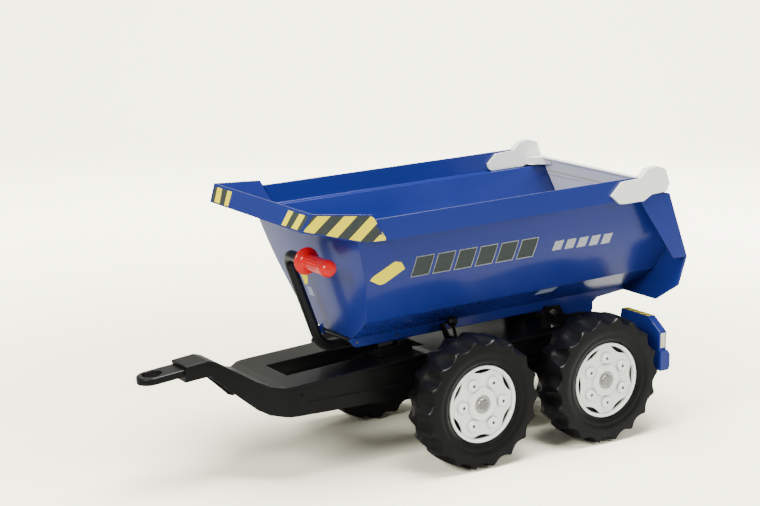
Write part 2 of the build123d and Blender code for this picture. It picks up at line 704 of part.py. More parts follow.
def front_drum(inset):
    """A very large leaning cylinder: its surface is the gently bulging front wall."""
    lean = math.degrees(math.atan(FRONT_LEAN))
    drum = Cylinder(FRONT_BULGE_R - inset, 1400)
    centre_x = FRONT_FOOT_X - FRONT_LEAN * FLOOR_Z
    return Pos(centre_x, 0, 0) * Rot(0, lean, 0) * Pos(-FRONT_BULGE_R, 0, 0) * drum


def tail_cut(side):
    """Everything behind the V-shaped rear end, seen from the side."""
    slope = (TAIL_TOP[0] - TAIL_MID[0]) / (TAIL_TOP[1] - TAIL_MID[1])
    high = (TAIL_TOP[0] + slope * 140, TAIL_TOP[1] + 140)
    low_slope = (TAIL_LOW[0] - TAIL_MID[0]) / (TAIL_LOW[1] - TAIL_MID[1])
    low = (TAIL_LOW[0] + low_slope * -40, TAIL_LOW[1] - 40)
    outline = [high, TAIL_MID, low, (-400, low[1]), (-400, high[1])]
    return plate_xz([(x + side, z) for x, z in outline], -260, 260)


def along(start, end, fraction):
    """A point on the line through two points, at a fraction of the way to the second."""
    return tuple(a + (b - a) * fraction for a, b in zip(start, end))


def hood_solid(inset, lift):
    """The overhanging spill guard at the front, as a closed block with a keel below."""
    drop = -0.7
    front = along(HOOD_LOW, HOOD_TOP, drop), along(HOOD_LOW, HOOD_TOP, 1 + lift / 30)
    end = (along(HOOD_END_LOW, HOOD_END_TOP, drop),
           along(HOOD_END_LOW, HOOD_END_TOP, 1 + lift / 50))

    def ring(level):
        (fx, fy, fz), (ex, ey, ez) = front[level], end[level]
        overlap = 1.0 if inset else 0.0
        points = [(fx - inset, fy - inset, fz), (ex - overlap, ey - inset, ez)]
        points += [(x, -y, z) for x, y, z in points[::-1]]
        return make_face(Polyline(*points, close=True))

    block_of_it = loft([ring(0), ring(1)], ruled=True)
    low = lowered([(400, HOOD_END_LOW[2]), (HOOD_KEEL_X, HOOD_END_LOW[2]),
                   (HOOD_LOW[0], HOOD_LOW[2]), along((HOOD_KEEL_X, HOOD_END_LOW[2]),
                                                     (HOOD_LOW[0], HOOD_LOW[2]), 1.3)], -inset)
    return block_of_it & plate_xz(low + [(low[-1][0], 450), (400, 450)], -300, 300)


def behind_hood(low_z, top_z, half):
    """A slab of the rim that ends at the sloping fold where the spill guard begins."""
    def fold_x(z):
        rise = (z - HOOD_END_LOW[2]) / (HOOD_END_TOP[2] - HOOD_END_LOW[2])
        return HOOD_END_LOW[0] + rise * (HOOD_END_TOP[0] - HOOD_END_LOW[0])

    outline = [(-400, low_z), (-400, top_z), (fold_x(top_z), top_z), (fold_x(low_z), low_z)]
    return plate_xz(outline, -half, half)


def make_trough_shell():
    outer = trough_prism(0, WALL_TOP[1] - 4, -200, 700) & front_drum(0)
    rim_end = [(RIM_REAR_X, RIM_LOW_Z), (RIM_REAR_X, 256.0), (-30.0, RIM_TOP_Z),
               (700.0, RIM_TOP_Z), (700.0, RIM_LOW_Z)]
    rim = behind_hood(RIM_LOW_Z, RIM_TOP_Z, RIM_Y) & plate_xz(rim_end, -RIM_Y, RIM_Y)
    outer += rim + hood_solid(0, 0)

    inner = trough_prism(WALL, 400, -300, 700) & front_drum(WALL)
    inner &= block(-400, 800, -300, 300, 0, WALL_TOP[1])
    inner += behind_hood(RIM_LOW_Z + WALL, 400, RIM_Y - WALL) + hood_solid(WALL, 60)
    shell = outer - inner
    shell -= tail_cut(0)

    frame_outline = [
        (RIM_Y, TAIL_TOP[1]), (RIM_Y, TAIL_CORNER_Z), (TAIL_LOW_HALF, TAIL_LOW[1]),
        (-TAIL_LOW_HALF, TAIL_LOW[1]), (-RIM_Y, TAIL_CORNER_Z), (-RIM_Y, TAIL_TOP[1]),
    ]
    rear_frame = plate_yz(frame_outline, -180, -60)
    rear_frame &= tail_cut(FRAME_THICK)
    rear_frame -= tail_cut(0)
    rear_frame -= trough_prism(WALL, 400, -300, 700)
    shell += rear_frame

    wing = plate_xz([(-20, RIM_LOW_Z), (-38.3, 244.0), (-116.8, 126.6), TAIL_MID, TAIL_TOP,
                     (-61.6, 255.3), (RIM_REAR_X, 262.0), (-20, 262.0)], RIM_Y - WALL, RIM_Y)
    shell += wing + other_side(wing)
    pivot = rod_y(*GATE_PIVOT, GATE_PIN_R + RUNNING_GAP, RIM_Y - 8, RIM_Y + 2)
    shell -= pivot + other_side(pivot)
    for x, y in rail_screw_places():
        for side in (-1, 1):
            shell -= rod_z(x, side * y, 2.0, FLOOR_Z - 1, FLOOR_Z + WALL + 1)
    return shell


# ---------------------------------------------------------------- rails under the trough
def rail_screw_places():
    return [(x, RAIL_Y - 9) for x in (90.0, 250.0, 440.0)]


def make_rail():
    """Angle rail: an upright plate with the hinge ear, and a top flange screwed to the floor."""
    outline = [
        (RAIL_FRONT_X, FLOOR_Z), (RAIL_FRONT_X - 5, RAIL_LOW_Z + 8), (RAIL_FRONT_X - 12, RAIL_LOW_Z + 1),
        (RAIL_FRONT_X - 20, RAIL_LOW_Z), (42.0, RAIL_LOW_Z), (32.0, 0.0), (13.0, -13.0),
        (-12.0, -13.0), (-30.0, 2.0), (-36.0, 15.0), (-36.0, 27.0), (-47.0, 34.6),
        (-113.0, 40.2), (-113.0, FLOOR_Z),
    ]
    plate = plate_xz(outline, RAIL_Y - RAIL_THICK, RAIL_Y)
    flange = block(60.0, 470.0, RAIL_Y - 16, RAIL_Y - RAIL_THICK, FLOOR_Z - RAIL_THICK, FLOOR_Z)
    body = plate + flange
    body -= rod_y(0, 0, HINGE_PIN_R + RUNNING_GAP, 0, 100)
    body -= rod_y(*HANDLE_BOLTS[0], HANDLE_BOLT_R, 0, 100)
    body -= rod_y(*HANDLE_BOLTS[1], HANDLE_BOLT_R, 0, 100)
    body -= rod_y(*stud_place(), STUD_R, 0, 100)
    for x, y in rail_screw_places():
        body -= rod_z(x, y, 2.0, FLOOR_Z - 10, FLOOR_Z + 2)
    return body


def make_rail_screws():
    screws = []
    for x, y in rail_screw_places():
        shank = rod_z(x, y, 2.0, FLOOR_Z - 4, FLOOR_Z + WALL)
        screws += (shank + rod_z(x, y, 4.0, FLOOR_Z - 5.4, FLOOR_Z - RAIL_THICK)).solids()
    return both_sides(Compound(children=screws))


def stud_place():
    """The latch stud in the trough frame."""
    pitch = math.radians(TROUGH_PITCH)
    dx, dz = STUD_X - HINGE_X, STUD_Z - HINGE_Z
    return (dx * math.cos(pitch) - dz * math.sin(pitch), dx * math.sin(pitch) + dz * math.cos(pitch))


def make_latch_stud():
    x, z = stud_place()
    stud = rod_y(x, z, STUD_R, RAIL_Y - RAIL_THICK, 66.0)
    return stud + rod_y(x, z, 5.0, RAIL_Y - RAIL_THICK - 3, RAIL_Y - RAIL_THICK)


# ---------------------------------------------------------------- tipping handle
HANDLE_BOLT_R = 3.0
HANDLE_BOLTS = [(489.0, 39.4), (405.0, 39.4)]
TUBE_Z = 39.4 - 5.0 - TUBE_R + 0.4
TUBE_REAR_X = 385.0
LOWER_BEND = (529.5, TUBE_Z)
UPPER_BEND = (592.0, 206.5)
GRIP_Y = (70.0, 156.0)
GRIP_R = 15.0
GUARD_R = 24.0


def make_handle_tube():
    """Bent steel tube with two welded cross sleeves for the bolts through the rails."""
    path = FilletPolyline(
        (TUBE_REAR_X, 0, TUBE_Z),
        (LOWER_BEND[0], 0, LOWER_BEND[1]),
        (UPPER_BEND[0], 0, UPPER_BEND[1]),
        (UPPER_BEND[0], GRIP_Y[1] - 12, UPPER_BEND[1]),
        radius=[34.0, 24.0],
    )
    start = Plane(origin=(TUBE_REAR_X, 0, TUBE_Z), z_dir=(1, 0, 0))
    tube = sweep(start * (Circle(TUBE_R) - Circle(TUBE_R - 1.5)), path=path)
    reach = RAIL_Y - RAIL_THICK
    for x, z in HANDLE_BOLTS:
        tube += rod_y(x, z, 5.0, -reach, reach) - rod_y(x, z, HANDLE_BOLT_R, -reach, reach)
    return tube


def make_handle_grip():
    x, z = UPPER_BEND
    barrel = rod_y(x, z, GRIP_R, GRIP_Y[0], GRIP_Y[1])
    barrel = fillet(barrel.edges().filter_by(GeomType.CIRCLE).sort_by(Axis.Y)[-1], 7.0)
    barrel += rod_y(x, z, GUARD_R, GRIP_Y[0], GRIP_Y[0] + 6)
    return barrel - rod_y(x, z, TUBE_R, GRIP_Y[0] - 1, GRIP_Y[1] - 12)


def make_handle_bolts():
    bolts = []
    for x, z in HANDLE_BOLTS:
        shank = rod_y(x, z, HANDLE_BOLT_R, -RAIL_Y - 1, RAIL_Y - 2)
        head = rod_y(x, z, 5.5, -RAIL_Y - 3, -RAIL_Y)
        bolts += (shank + head).solids()
    return Compound(children=bolts)


# ---------------------------------------------------------------- tailgate
GATE_PIN_R = 4.0
GATE_THICK = 3.0
EAR_OUT_Y = (198.4, 203.0)
EAR_IN_Y = (188.8, 193.0)
EAR_NOSE_R = 12.3
EAR_FOOT_Z = RIM_LOW_Z + WALL + 0.8
GATE_TOP_Z = 272.0

EAR = [(33.6, 264.8), (9.7, 286.8), (-34.0, 288.5), (-51.0, 303.4), (-74.0, 306.0),
       (-92.6, 298.8), (-101.8, 272.3), (-95.5, 257.0), (-59.4, 255.6), (-41.5, 246.0),
       (1.7, 246.2), (14.0, 247.5)]


def make_ear():
    """Saddle over the rim: two side plates, joined over the top behind the rim's end."""
    outer = plate_xz(EAR, *EAR_OUT_Y)
    inner = plate_xz(EAR, *EAR_IN_Y)
    nose = rod_y(*GATE_PIVOT, EAR_NOSE_R, *EAR_IN_Y)
    inner &= block(-200, GATE_PIVOT[0], 0, 250, EAR_FOOT_Z, 400) + nose
    crest = EAR[2:8]
    core = [(-41.5, 288.0), (-53.0, 299.6), (-73.5, 302.6), (-89.8, 296.2), (-98.2, 272.0),
            (-92.6, 257.0)]
    web = plate_xz(crest + core[::-1], EAR_IN_Y[0], EAR_OUT_Y[1])
    return outer + inner + web


def gate_sheet(near, far):
    """A sheet that follows the V-shaped rear end, between two distances inside it."""
    return tail_cut(far) - tail_cut(near)


def make_tailgate():
    sheet = gate_sheet(1.0, 1.0 + GATE_THICK)
    low_zone = trough_prism(WALL + 2.0, GATE_TOP_Z, -300, 100)
    low_zone &= block(-300, 100, -260, 260, FLOOR_Z + WALL + 1.5, RIM_LOW_Z + WALL + 2)
    high_zone = block(-300, 100, -EAR_IN_Y[0], EAR_IN_Y[0], RIM_LOW_Z + WALL + 2, GATE_TOP_Z)
    panel = sheet & (low_zone + high_zone)

    rib_depth = gate_sheet(1.0, 8.0)
    flange = gate_sheet(1.0, 13.0) & block(-300, 100, -EAR_IN_Y[0], EAR_IN_Y[0],
                                           GATE_TOP_Z - 3, GATE_TOP_Z)
    rib = rib_depth & block(-300, 100, -168, 168, 236.0, 241.0)
    ear = make_ear() + make_gusset()
    body = panel + flange + rib + ear + other_side(ear)
    pin = make_gate_pin()
    return body - pin - other_side(pin)


def make_gusset():
    """Sloping web that ties the inner ear plate to the panel."""
    top = [(-60.0, EAR_IN_Y[0]), (-98.0, EAR_IN_Y[0]), (-98.0, 150.0)]
    wedge = make_face(Polyline(*[(x, y, 258.0) for x, y in top], close=True))
    solid = extrude(wedge, amount=GATE_TOP_Z - 258.0, dir=(0, 0, 1))
    pocket = [(-68.0, EAR_IN_Y[0] - 3), (-95.0, EAR_IN_Y[0] - 3), (-95.0, 160.0)]
    hole = make_face(Polyline(*[(x, y, 255.0) for x, y in pocket], close=True))
    return solid - extrude(hole, amount=GATE_TOP_Z - 258.0, dir=(0, 0, 1))


def make_gate_pin():
    """Pin moulded into both plates of an ear, without showing on either face."""
    return rod_y(*GATE_PIVOT, GATE_PIN_R, EAR_IN_Y[0] + 1, EAR_OUT_Y[1] - 1)


# ---------------------------------------------------------------- write every node
def write_chassis_nodes():
    save(make_chassis(), "chassis_frame")
    save(make_drawbar_eye(), "drawbar_eye")
    save(make_drawbar_bolt(), "drawbar_bolt")
    save(make_bumper(), "rear_bumper")
    save(make_bumper_bolts(), "bumper_bolts")
    save(make_bracket_screws(), "bracket_screws")
    save(make_tie_bolt(), "bracket_tie_bolt")
    save(make_hinge_pin(), "tip_hinge_pin")
    save(make_hinge_pin_caps(), "hinge_pin_caps")
    save(make_latch_post(), "latch_post")
    sided = {
        "hinge_bracket": make_hinge_bracket(),
        "rest_block": make_rest_block(),
        "rest_pad": make_rest_pad(),
        "reflector": reflector_body(0.8),
    }
    for name, shape in sided.items():
        save(shape, f"{name}_left")
        save(other_side(shape), f"{name}_right")


def write_wheel_nodes():
    for end, axle_x in (("front", FRONT_AXLE_X), ("rear", REAR_AXLE_X)):
        save(make_axle(axle_x), f"{end}_axle")
        pieces = {
            "axle_bush": make_axle_bush(axle_x),
            "axle_cap": make_axle_cap(axle_x),
            "tyre": make_tyre(axle_x),
            "wheel_rim": make_wheel_rim(axle_x),
            "wheel_disc": make_wheel_disc(axle_x, COVER_TURN[end]),
            "hub_sleeve": make_hub_sleeve(axle_x),
        }
        for name, shape in pieces.items():
            save(shape, f"{name}_{end}_left")
            save(other_side(shape), f"{name}_{end}_right")


def write_trough_nodes():
    place = trough_frame()
    rail = make_rail()
    pin = make_gate_pin()
    nodes = {
        "trough_shell": make_trough_shell(),
        "rail_left": rail,
        "rail_right": other_side(rail),
        "rail_screws": make_rail_screws(),
        "handle_tube": make_handle_tube(),
        "handle_grip": make_handle_grip(),
        "handle_bolts": make_handle_bolts(),
        "latch_stud": make_latch_stud(),
        "tailgate": make_tailgate(),
        "tailgate_pin_left": pin,
        "tailgate_pin_right": other_side(pin),
    }
    for name, shape in nodes.items():
        save(place * shape, name)


write_chassis_nodes()
write_wheel_nodes()
write_trough_nodes()
lever = make_latch_lever()
save(lever, "latch_lever")
save(make_latch_knob(lever), "latch_knob")
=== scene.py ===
import json
import math
import bmesh
import bpy
from mathutils import Matrix, Vector
from mathutils.bvhtree import BVHTree


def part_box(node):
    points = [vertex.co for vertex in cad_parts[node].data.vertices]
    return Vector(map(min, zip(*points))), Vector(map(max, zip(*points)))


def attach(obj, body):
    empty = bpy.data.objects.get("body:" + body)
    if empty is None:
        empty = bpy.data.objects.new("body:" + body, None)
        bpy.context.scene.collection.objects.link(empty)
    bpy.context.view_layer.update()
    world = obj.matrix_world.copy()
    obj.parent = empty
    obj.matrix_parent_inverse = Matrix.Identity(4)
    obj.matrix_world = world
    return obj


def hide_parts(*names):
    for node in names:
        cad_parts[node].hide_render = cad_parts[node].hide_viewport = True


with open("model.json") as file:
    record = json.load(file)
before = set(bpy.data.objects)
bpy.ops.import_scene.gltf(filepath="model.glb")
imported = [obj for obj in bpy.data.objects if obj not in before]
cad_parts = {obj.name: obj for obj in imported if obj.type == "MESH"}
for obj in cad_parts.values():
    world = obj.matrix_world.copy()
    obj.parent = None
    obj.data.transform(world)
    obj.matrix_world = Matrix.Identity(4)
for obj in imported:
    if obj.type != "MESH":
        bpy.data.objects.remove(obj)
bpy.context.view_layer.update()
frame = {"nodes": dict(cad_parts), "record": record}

MM = 0.001
SIDES = {"left": 1, "right": -1}


# ---------------------------------------------------------------- camera, light and floor
CAMERA_PLACE = (1.6811, 2.6688, 1.0448)
CAMERA_YAW, CAMERA_PITCH, CAMERA_ROLL = -121.659, -12.244, -0.415
CAMERA_LENS, CAMERA_SENSOR = 84.6, 36.0
CAMERA_FAR = 50.0
WORLD_COLOUR, WORLD_STRENGTH = (0.95, 0.95, 0.90, 1), 0.30
WARM, COOL = (1.0, 0.99, 0.96), (0.96, 0.98, 1.0)
FLOOR_REACH = 40.0
WALL_START, WALL_BEND, WALL_HEIGHT, WALL_STEPS = -3.5, 2.0, 5.0, 12


def make_camera():
    """The photograph's viewpoint, solved from the trailer's parallel edges."""
    yaw, pitch, roll = (math.radians(a) for a in (CAMERA_YAW, CAMERA_PITCH, CAMERA_ROLL))
    ahead = Vector((math.cos(yaw) * math.cos(pitch), math.sin(yaw) * math.cos(pitch), math.sin(pitch)))
    level = ahead.cross(Vector((0, 0, 1))).normalized()
    up = level.cross(ahead)
    right = math.cos(roll) * level + math.sin(roll) * up
    top = math.cos(roll) * up - math.sin(roll) * level
    data = bpy.data.cameras.new("camera")
    data.lens = CAMERA_LENS
    data.sensor_width = CAMERA_SENSOR
    data.clip_end = CAMERA_FAR
    camera = bpy.data.objects.new("camera", data)
    axes = Matrix((right, top, -ahead)).transposed().to_4x4()
    camera.matrix_world = Matrix.Translation(CAMERA_PLACE) @ axes
    bpy.context.collection.objects.link(camera)
    bpy.context.scene.camera = camera


def area_light(name, place, target, size, power, colour, mirrored=True):
    """A rectangular light aimed at a point; mirrored says whether gloss shows it."""
    data = bpy.data.lights.new(name, "AREA")
    data.shape = "RECTANGLE"
    data.size, data.size_y = size
    data.energy = power
    data.color = colour
    light = bpy.data.objects.new(name, data)
    light.location = place
    light.rotation_euler = (Vector(target) - Vector(place)).to_track_quat("-Z", "Y").to_euler()
    light.visible_glossy = mirrored
    bpy.context.collection.objects.link(light)


def make_lights():
    world = bpy.data.worlds.new("studio")
    world.use_nodes = True
    background = world.node_tree.nodes["Background"]
    background.inputs["Color"].default_value = WORLD_COLOUR
    background.inputs["Strength"].default_value = WORLD_STRENGTH
    bpy.context.scene.world = world
    area_light("soft_top", (-0.2, 0.3, 2.6), (0, 0, 0.2), (1.8, 1.3), 160, WARM)
    area_light("soft_left", (2.6, 1.0, 1.7), (0.1, 0, 0.3), (0.9, 0.9), 84, WARM)
    area_light("soft_front", (-1.6, 2.9, 1.9), (-0.1, 0, 0.3), (0.7, 0.7), 48, COOL, mirrored=False)


def make_floor():
    """A pale sweep: a flat floor that curves up into a wall behind the trailer."""
    bm = bmesh.new()
    profile = [(FLOOR_REACH, 0.0), (WALL_START, 0.0)]
    for i in range(1, WALL_STEPS + 1):
        angle = math.radians(90 * i / WALL_STEPS)
        profile.append((WALL_START - WALL_BEND * math.sin(angle), WALL_BEND * (1 - math.cos(angle))))
    profile.append((WALL_START - WALL_BEND, WALL_HEIGHT))
    toward = Vector((math.cos(math.radians(CAMERA_YAW + 180)), math.sin(math.radians(CAMERA_YAW + 180)), 0))
    across = Vector((-toward.y, toward.x, 0))
    rows = [[bm.verts.new(toward * d + across * s + Vector((0, 0, z))) for s in (-FLOOR_REACH, FLOOR_REACH)]
            for d, z in profile]
    for a, b in zip(rows, rows[1:]):
        bm.faces.new((a[0], b[0], b[1], a[1]))
    floor = new_object("studio_floor", bm, [sweep_paint()])
    floor.data.polygons.foreach_set("use_smooth", [True] * len(floor.data.polygons))


# ---------------------------------------------------------------- materials
def linear(red, green, blue):
    """Display values 0 to 255 as linear light."""
    def one(value):
        value /= 255
        return value / 12.92 if value <= 0.04045 else ((value + 0.055) / 1.055) ** 2.4
    return one(red), one(green), one(blue)


NOISE_LOW, NOISE_HIGH = 0.3, 0.7


class Surface:
    """A Principled material with room for noise-driven colour, roughness and bump."""

    def __init__(self, name):
        self.material = bpy.data.materials.new(name)
        self.material.use_nodes = True
        self.tree = self.material.node_tree
        self.shader = self.tree.nodes["Principled BSDF"]
        self.place = self.tree.nodes.new("ShaderNodeTexCoord").outputs["Object"]

    def node(self, kind, **values):
        node = self.tree.nodes.new(kind)
        for key, value in values.items():
            setattr(node, key, value)
        return node

    def link(self, output, target):
        self.tree.links.new(output, target)

    def noise(self, scale, detail=3.0, stretch=None):
        """Noise in the piece's own metres; stretch squeezes it along one axis into streaks."""
        node = self.node("ShaderNodeTexNoise")
        node.inputs["Scale"].default_value = scale
        node.inputs["Detail"].default_value = detail
        source = self.place
        if stretch:
            mapping = self.node("ShaderNodeMapping")
            mapping.inputs["Scale"].default_value = stretch
            self.link(source, mapping.inputs["Vector"])
            source = mapping.outputs["Vector"]
        self.link(source, node.inputs["Vector"])
        return node.outputs["Fac"]

    def spread(self, source, low, high):
        """Noise stretched over low to high, since it seldom leaves the middle of its range."""
        node = self.node("ShaderNodeMapRange")
        node.inputs["From Min"].default_value = NOISE_LOW
        node.inputs["From Max"].default_value = NOISE_HIGH
        node.inputs["To Min"].default_value = low
        node.inputs["To Max"].default_value = high
        self.link(source, node.inputs["Value"])
        return node.outputs["Result"]

    def two_colours(self, source, first, second):
        mix = self.node("ShaderNodeMix", data_type="RGBA")
        mix.inputs["A"].default_value = (*first, 1)
        mix.inputs["B"].default_value = (*second, 1)
        self.link(source, mix.inputs["Factor"])
        return mix.outputs["Result"]

    def relief(self, layers, edge):
        """Bump from several noises, laid over softly rounded edges."""
        normal = None
        if edge:
            bevel = self.node("ShaderNodeBevel", samples=6)
            bevel.inputs["Radius"].default_value = edge
            normal = bevel.outputs["Normal"]
        for source, strength, depth in layers:
            bump = self.node("ShaderNodeBump")
            bump.inputs["Strength"].default_value = strength
            bump.inputs["Distance"].default_value = depth
            self.link(source, bump.inputs["Height"])
            if normal:
                self.link(normal, bump.inputs["Normal"])
            normal = bump.outputs["Normal"]
        if normal:
            self.link(normal, self.shader.inputs["Normal"])


def shaded(colour, factor):
    return tuple(c * factor for c in colour)


# How far the painted corner shade reaches.
CORNER_SHADE_REACH = 7 * MM
PLASTIC_IOR = 1.5
COAT_ROUGHNESS = 0.08
RUBBER_SHINE = 0.35


def plastic(name, colour, roughness, grain=0.06, coat=0.0, contrast=0.05, edge=0.0012, shine=0.5,
            painted_shade_and_dust=0.0):
    """Moulded plastic: cloudy colour, uneven gloss, fine grain, slow waves, and painted shade that darkens
    the base colour in corners.
    """
    s = Surface(name)
    clouds = s.spread(s.noise(7.0, 4.0), 0.0, 1.0)
    clean = s.two_colours(clouds, shaded(colour, 1 - contrast), shaded(colour, 1 + contrast))
    # Painted shade: ambient occlusion darkens the base colour in corners and crevices.
    if painted_shade_and_dust:
        corners = s.node("ShaderNodeAmbientOcclusion", samples=8)
        corners.inputs["Distance"].default_value = CORNER_SHADE_REACH
        mix = s.node("ShaderNodeMix", data_type="RGBA")
        mix.inputs["A"].default_value = (*shaded(colour, 1 - painted_shade_and_dust), 1)
        s.link(corners.outputs["AO"], mix.inputs["Factor"])
        s.link(clean, mix.inputs["B"])
        clean = mix.outputs["Result"]
    s.link(clean, s.shader.inputs["Base Color"])
    s.link(s.spread(s.noise(9.0, 3.0), roughness * 0.92, roughness * 1.08), s.shader.inputs["Roughness"])
    s.shader.inputs["IOR"].default_value = PLASTIC_IOR
    s.shader.inputs["Specular IOR Level"].default_value = shine
    s.shader.inputs["Coat Weight"].default_value = coat
    s.shader.inputs["Coat Roughness"].default_value = COAT_ROUGHNESS
    layers = [(s.noise(5.0, 1.0), 0.06, 0.003), (s.noise(1500.0, 2.0), grain, 0.0002)]
    s.relief(layers, edge)
    return s.material


def rubbery(name, colour, roughness):
    """Soft black moulding with a bloom of dust."""
    s = Surface(name)
    painted_shade_and_dust = s.spread(s.noise(22.0, 8.0), 0.0, 1.0)
    s.link(s.two_colours(painted_shade_and_dust, colour, shaded(colour, 1.5)), s.shader.inputs["Base Color"])
    s.link(s.spread(s.noise(60.0, 5.0), roughness * 0.85, roughness * 1.15), s.shader.inputs["Roughness"])
    s.shader.inputs["Specular IOR Level"].default_value = RUBBER_SHINE
    s.relief([(s.noise(900.0, 3.0), 0.12, 0.0003)], 0.0012)
    return s.material


def metal(name, colour, roughness, stretch=None, edge=0.0005):
    """Bare metal with fine streaks."""
    s = Surface(name)
    streaks = s.noise(260.0, 4.0, stretch)
    s.link(s.two_colours(s.spread(streaks, 0.0, 1.0), shaded(colour, 0.82), colour),
           s.shader.inputs["Base Color"])
    s.link(s.spread(streaks, roughness * 0.7, roughness * 1.3), s.shader.inputs["Roughness"])
    s.shader.inputs["Metallic"].default_value = 1.0
    s.relief([(streaks, 0.08, 0.0002)], edge)
    return s.material


def powder_coat(name, colour, roughness):
    """Painted steel with a fine orange peel."""
    s = Surface(name)
    peel = s.noise(420.0, 2.0)
    s.link(s.two_colours(s.spread(s.noise(12.0), 0, 1), colour, shaded(colour, 1.4)),
           s.shader.inputs["Base Color"])
    s.link(s.spread(peel, roughness * 0.85, roughness * 1.15), s.shader.inputs["Roughness"])
    s.shader.inputs["Coat Weight"].default_value = 0.2
    s.shader.inputs["Coat Roughness"].default_value = 0.2
    s.relief([(peel, 0.03, 0.0002)], 0.0006)
    return s.material


# The paper's colour to the camera, to bounced light and in gloss: lit and shaded copies of one paper, with
# painted light making it brighter to the camera away from the trailer and painted shade darkening it toward
# the camera in gloss. Spans are in metres.
PAPER_SEEN = (1.7, 1.68, 1.3)
PAPER_FAR_TIMES = 4.3
PAPER_SPAN = 0.5, 3.3
PAPER_BOUNCE = (0.85, 0.85, 0.80)
PAPER_MIRRORED = (0.80, 0.80, 0.76)
MIRRORED_NEAR_SHARE = 0.22
MIRRORED_SPAN = -1.1, 0.5
MIRRORED_TURN = -12


def sweep_paint():
    """Pale paper with painted light: painted brighter away from the trailer for the camera, and painted
    darker toward the camera in gloss.
    """
    s = Surface("studio_paper")
    toward = math.radians(CAMERA_YAW + 180 + MIRRORED_TURN)
    apart = s.node("ShaderNodeVectorMath", operation="LENGTH")
    s.link(s.place, apart.inputs[0])
    along = s.node("ShaderNodeVectorMath", operation="DOT_PRODUCT")
    along.inputs[1].default_value = (math.cos(toward), math.sin(toward), 0)
    s.link(s.place, along.inputs[0])

    def paper(distance, span, first, share):
        diffuse = s.node("ShaderNodeBsdfDiffuse")
        fade = s.node("ShaderNodeMapRange", interpolation_type="SMOOTHSTEP")
        fade.inputs["From Min"].default_value, fade.inputs["From Max"].default_value = span
        s.link(distance, fade.inputs["Value"])
        s.link(s.two_colours(fade.outputs["Result"], first, shaded(first, share)), diffuse.inputs["Color"])
        return diffuse.outputs["BSDF"]

    def choose(ray, yes, no):
        mix = s.node("ShaderNodeMixShader")
        s.link(path.outputs[ray], mix.inputs["Fac"])
        s.link(no, mix.inputs[1])
        s.link(yes, mix.inputs[2])
        return mix.outputs["Shader"]

    path = s.node("ShaderNodeLightPath")
    # Painted light and shade: the camera sees a brightened copy of the paper, and gloss sees a copy painted
    # darker toward the camera.
    seen = paper(apart.outputs["Value"], PAPER_SPAN, PAPER_SEEN, PAPER_FAR_TIMES)
    mirrored = paper(along.outputs["Value"], MIRRORED_SPAN, PAPER_MIRRORED, MIRRORED_NEAR_SHARE)
    bounce = s.node("ShaderNodeBsdfDiffuse")
    bounce.inputs["Color"].default_value = (*PAPER_BOUNCE, 1)
    lit = choose("Is Camera Ray", seen, choose("Is Glossy Ray", mirrored, bounce.outputs["BSDF"]))
    s.link(lit, s.tree.nodes["Material Output"].inputs["Surface"])
    return s.material


BLUE = linear(26, 41, 118)
BLACK = linear(13, 13, 13)

paint = {
    "blue": plastic("blue_moulding", BLUE, 0.24, grain=0.03, coat=0.2, edge=0.0030),
    "black": plastic("black_moulding", BLACK, 0.30, grain=0.08, contrast=0.12, edge=0.0025, shine=0.4),
    "white": plastic("white_moulding", linear(250, 250, 243), 0.34, contrast=0.012, edge=0.0007,
                     painted_shade_and_dust=0.8),
    "red": plastic("red_moulding", linear(205, 10, 10), 0.22, coat=0.3, contrast=0.08),
    "reflector": plastic("pale_reflector", linear(215, 212, 190), 0.15, coat=0.6),
    "tyre": rubbery("tyre_moulding", linear(11, 11, 11), 0.33),
    "pad": rubbery("pad_rubber", linear(36, 36, 36), 0.75),
    "nylon": plastic("black_nylon", linear(44, 44, 46), 0.5, grain=0.1),
    "steel": metal("zinc_steel", (0.66, 0.65, 0.61), 0.30),
    "black_steel": powder_coat("black_powder_coat", linear(15, 15, 15), 0.30),
    "yellow": plastic("yellow_film", linear(240, 222, 0), 0.45, contrast=0.02, edge=0.0, shine=0.1),
    "grey": plastic("grey_film", linear(58, 64, 62), 0.40, contrast=0.04, edge=0.0, shine=0.2),
    "silver": metal("silver_film", (0.72, 0.74, 0.78), 0.32, edge=0.0),
    "pale_blue": plastic("pale_blue_film", linear(140, 152, 180), 0.30, contrast=0.03, edge=0.0),
}

SLOT_PAINT = {
    "black_plastic": "black",
    "blue_plastic": "blue",
    "white_plastic": "white",
    "red_plastic": "red",
    "pale_reflector": "reflector",
    "tyre": "tyre",
    "pad_rubber": "pad",
    "nylon": "nylon",
    "steel": "steel",
    "black_steel": "black_steel",
}


def paint_cad_nodes():
    slots = {part["node"]: part["material_slot"] for part in frame["record"]["subparts"]}
    for name, node in frame["nodes"].items():
        for slot in node.material_slots:
            slot.material = paint[SLOT_PAINT[slots[name]]]


# ---------------------------------------------------------------- mesh helpers
def new_object(name, bm, materials):
    bmesh.ops.recalc_face_normals(bm, faces=bm.faces)
    mesh = bpy.data.meshes.new(name)
    bm.to_mesh(mesh)
    bm.free()
    for material in materials:
        mesh.materials.append(material)
    piece = bpy.data.objects.new(name, mesh)
    bpy.context.collection.objects.link(piece)
    return piece


def smooth(piece, degrees=35):
    """Smooth shading, with a crease wherever two faces meet at more than the angle."""
    mesh = piece.data
    mesh.shade_smooth()
    mesh.set_sharp_from_angle(angle=math.radians(degrees))


def closed_ring(bm, rows):
    """Joins rows of points into a skin that is closed both ways, like a tyre."""
    made = [[bm.verts.new(point) for point in row] for row in rows]
    for row, above in zip(made, made[1:] + made[:1]):
        for i in range(len(row)):
            j = (i + 1) % len(row)
            bm.faces.new((row[i], row[j], above[j], above[i]))


